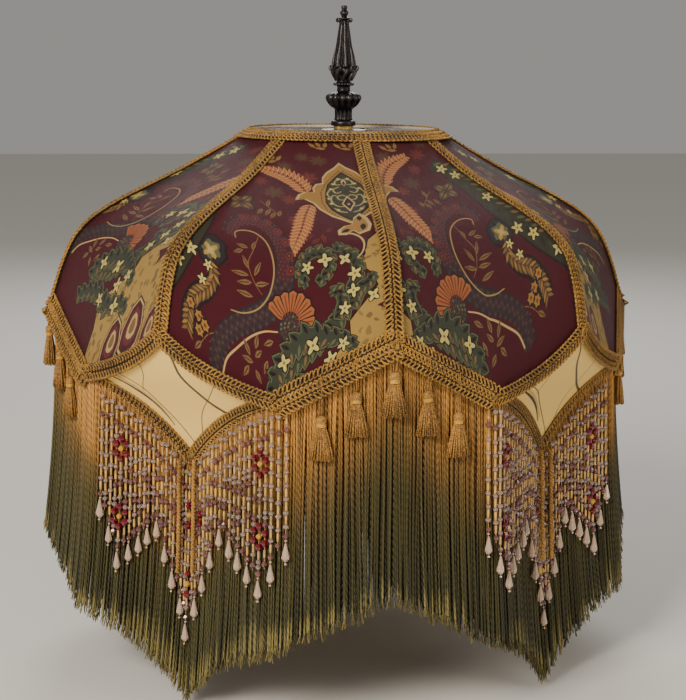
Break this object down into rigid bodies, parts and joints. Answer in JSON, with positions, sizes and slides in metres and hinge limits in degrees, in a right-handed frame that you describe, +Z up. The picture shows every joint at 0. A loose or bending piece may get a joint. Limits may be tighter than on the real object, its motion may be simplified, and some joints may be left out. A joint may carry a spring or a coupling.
{
  "type": "lamp shade",
  "caption": "Fringed dome lamp shade on a wire frame, with printed silk panels, cream kites, gold braid, beaded strings, tassels and a cast finial; it drops over a lamp's harp stud.",
  "frame": {"origin": "centre of the washer's underside, where the shade sits on the lamp's harp", "axes": "+Z up along the harp's stud; +X, +Y, -X and -Y each point at a peak of the rim, and -Y is the front one"},
  "size_m": [0.48, 0.48, 0.507],
  "materials": {
    "printed_silk": "printed silk, burgundy ground with a gold, cream, grey and green flower pattern",
    "cream_silk": "cream silk with thin olive vine lines",
    "lining_silk": "plain off-white lining silk",
    "gold_braid": "antique gold gimp braid",
    "gold_fringe": "twisted rayon fringe, gold above and olive green below",
    "gold_tassel": "gold rayon tassel",
    "glass_beads": "smoky mauve, red and champagne cut glass beads on thread",
    "frame_wire": "plated steel wire",
    "dark_bronze": "dark antique bronze casting",
    "brass_insert": "turned brass"
  },
  "bodies": {
    "shade": {"wire_frame": "frame_wire", "spider": "frame_wire", "printed_panel_1": "printed_silk", "printed_panel_2": "printed_silk", "printed_panel_3": "printed_silk", "printed_panel_4": "printed_silk", "printed_panel_5": "printed_silk", "printed_panel_6": "printed_silk", "printed_panel_7": "printed_silk", "printed_panel_8": "printed_silk", "cream_kite_1": "cream_silk", "cream_kite_2": "cream_silk", "cream_kite_3": "cream_silk", "cream_kite_4": "cream_silk", "lining": "lining_silk", "peak_rib_braid_1": "gold_braid", "peak_rib_braid_2": "gold_braid", "peak_rib_braid_3": "gold_braid", "peak_rib_braid_4": "gold_braid", "kite_rib_braid_1": "gold_braid", "kite_rib_braid_2": "gold_braid", "kite_rib_braid_3": "gold_braid", "kite_rib_braid_4": "gold_braid", "ring_braid": "gold_braid", "kite_edge_braid_1": "gold_braid", "kite_edge_braid_2": "gold_braid", "kite_edge_braid_3": "gold_braid", "kite_edge_braid_4": "gold_braid", "rim_braid": "gold_braid", "fringe_1": "gold_fringe", "fringe_2": "gold_fringe", "fringe_3": "gold_fringe", "fringe_4": "gold_fringe", "bead_fringe_1": "glass_beads", "bead_fringe_2": "glass_beads", "bead_fringe_3": "glass_beads", "bead_fringe_4": "glass_beads"},
    "tassel_1_1": {"tassel_1_1": "gold_tassel"},
    "tassel_1_2": {"tassel_1_2": "gold_tassel"},
    "tassel_1_3": {"tassel_1_3": "gold_tassel"},
    "tassel_1_4": {"tassel_1_4": "gold_tassel"},
    "tassel_1_5": {"tassel_1_5": "gold_tassel"},
    "tassel_2_1": {"tassel_2_1": "gold_tassel"},
    "tassel_2_2": {"tassel_2_2": "gold_tassel"},
    "tassel_2_3": {"tassel_2_3": "gold_tassel"},
    "tassel_2_4": {"tassel_2_4": "gold_tassel"},
    "tassel_2_5": {"tassel_2_5": "gold_tassel"},
    "tassel_3_1": {"tassel_3_1": "gold_tassel"},
    "tassel_3_2": {"tassel_3_2": "gold_tassel"},
    "tassel_3_3": {"tassel_3_3": "gold_tassel"},
    "tassel_3_4": {"tassel_3_4": "gold_tassel"},
    "tassel_3_5": {"tassel_3_5": "gold_tassel"},
    "tassel_4_1": {"tassel_4_1": "gold_tassel"},
    "tassel_4_2": {"tassel_4_2": "gold_tassel"},
    "tassel_4_3": {"tassel_4_3": "gold_tassel"},
    "tassel_4_4": {"tassel_4_4": "gold_tassel"},
    "tassel_4_5": {"tassel_4_5": "gold_tassel"},
    "finial_lift": {"finial_insert": "brass_insert"},
    "finial": {"finial": "dark_bronze"}
  },
  "joints": [
    {"name": "tassel_1_1_swing", "type": "hinge", "parent": "shade", "child": "tassel_1_1", "pos_m": [0.22165, -0.05423, -0.16025], "axis": [-0.2991, -0.9542, 0], "range_deg": [0, 70]},
    {"name": "tassel_1_2_swing", "type": "hinge", "parent": "shade", "child": "tassel_1_2", "pos_m": [0.23009, -0.0273, -0.14495], "axis": [-0.2991, -0.9542, 0], "range_deg": [0, 70]},
    {"name": "tassel_1_3_swing", "type": "hinge", "parent": "shade", "child": "tassel_1_3", "pos_m": [0.23865, 0, -0.131], "axis": [0, -1, 0], "range_deg": [0, 70]},
    {"name": "tassel_1_4_swing", "type": "hinge", "parent": "shade", "child": "tassel_1_4", "pos_m": [0.23009, 0.0273, -0.14495], "axis": [0.2991, -0.9542, 0], "range_deg": [0, 70]},
    {"name": "tassel_1_5_swing", "type": "hinge", "parent": "shade", "child": "tassel_1_5", "pos_m": [0.22165, 0.05423, -0.16025], "axis": [0.2991, -0.9542, 0], "range_deg": [0, 70]},
    {"name": "tassel_2_1_swing", "type": "hinge", "parent": "shade", "child": "tassel_2_1", "pos_m": [0.05423, 0.22165, -0.16025], "axis": [0.9542, -0.2991, 0], "range_deg": [0, 70]},
    {"name": "tassel_2_2_swing", "type": "hinge", "parent": "shade", "child": "tassel_2_2", "pos_m": [0.0273, 0.23009, -0.14495], "axis": [0.9542, -0.2991, 0], "range_deg": [0, 70]},
    {"name": "tassel_2_3_swing", "type": "hinge", "parent": "shade", "child": "tassel_2_3", "pos_m": [0, 0.23865, -0.131], "axis": [1, 0, 0], "range_deg": [0, 70]},
    {"name": "tassel_2_4_swing", "type": "hinge", "parent": "shade", "child": "tassel_2_4", "pos_m": [-0.0273, 0.23009, -0.14495], "axis": [0.9542, 0.2991, 0], "range_deg": [0, 70]},
    {"name": "tassel_2_5_swing", "type": "hinge", "parent": "shade", "child": "tassel_2_5", "pos_m": [-0.05423, 0.22165, -0.16025], "axis": [0.9542, 0.2991, 0], "range_deg": [0, 70]},
    {"name": "tassel_3_1_swing", "type": "hinge", "parent": "shade", "child": "tassel_3_1", "pos_m": [-0.22165, 0.05423, -0.16025], "axis": [0.2991, 0.9542, 0], "range_deg": [0, 70]},
    {"name": "tassel_3_2_swing", "type": "hinge", "parent": "shade", "child": "tassel_3_2", "pos_m": [-0.23009, 0.0273, -0.14495], "axis": [0.2991, 0.9542, 0], "range_deg": [0, 70]},
    {"name": "tassel_3_3_swing", "type": "hinge", "parent": "shade", "child": "tassel_3_3", "pos_m": [-0.23865, 0, -0.131], "axis": [0, 1, 0], "range_deg": [0, 70]},
    {"name": "tassel_3_4_swing", "type": "hinge", "parent": "shade", "child": "tassel_3_4", "pos_m": [-0.23009, -0.0273, -0.14495], "axis": [-0.2991, 0.9542, 0], "range_deg": [0, 70]},
    {"name": "tassel_3_5_swing", "type": "hinge", "parent": "shade", "child": "tassel_3_5", "pos_m": [-0.22165, -0.05423, -0.16025], "axis": [-0.2991, 0.9542, 0], "range_deg": [0, 70]},
    {"name": "tassel_4_1_swing", "type": "hinge", "parent": "shade", "child": "tassel_4_1", "pos_m": [-0.05423, -0.22165, -0.16025], "axis": [-0.9542, 0.2991, 0], "range_deg": [0, 70]},
    {"name": "tassel_4_2_swing", "type": "hinge", "parent": "shade", "child": "tassel_4_2", "pos_m": [-0.0273, -0.23009, -0.14495], "axis": [-0.9542, 0.2991, 0], "range_deg": [0, 70]},
    {"name": "tassel_4_3_swing", "type": "hinge", "parent": "shade", "child": "tassel_4_3", "pos_m": [0, -0.23865, -0.131], "axis": [-1, 0, 0], "range_deg": [0, 70]},
    {"name": "tassel_4_4_swing", "type": "hinge", "parent": "shade", "child": "tassel_4_4", "pos_m": [0.0273, -0.23009, -0.14495], "axis": [-0.9542, -0.2991, 0], "range_deg": [0, 70]},
    {"name": "tassel_4_5_swing", "type": "hinge", "parent": "shade", "child": "tassel_4_5", "pos_m": [0.05423, -0.22165, -0.16025], "axis": [-0.9542, -0.2991, 0], "range_deg": [0, 70]},
    {"name": "finial_rise", "type": "slide", "parent": "shade", "child": "finial_lift", "axis": [0, 0, 1], "range_m": [0, 0.0047]},
    {"name": "finial_unscrew", "type": "hinge", "parent": "finial_lift", "child": "finial", "pos_m": [0, 0, 0.005], "axis": [0, 0, 1], "range_deg": [0, 1800]}
  ],
  "couplings": [
    {"joint": "finial_unscrew", "follows": "finial_rise", "rad_per_m": 6679}
  ]
}
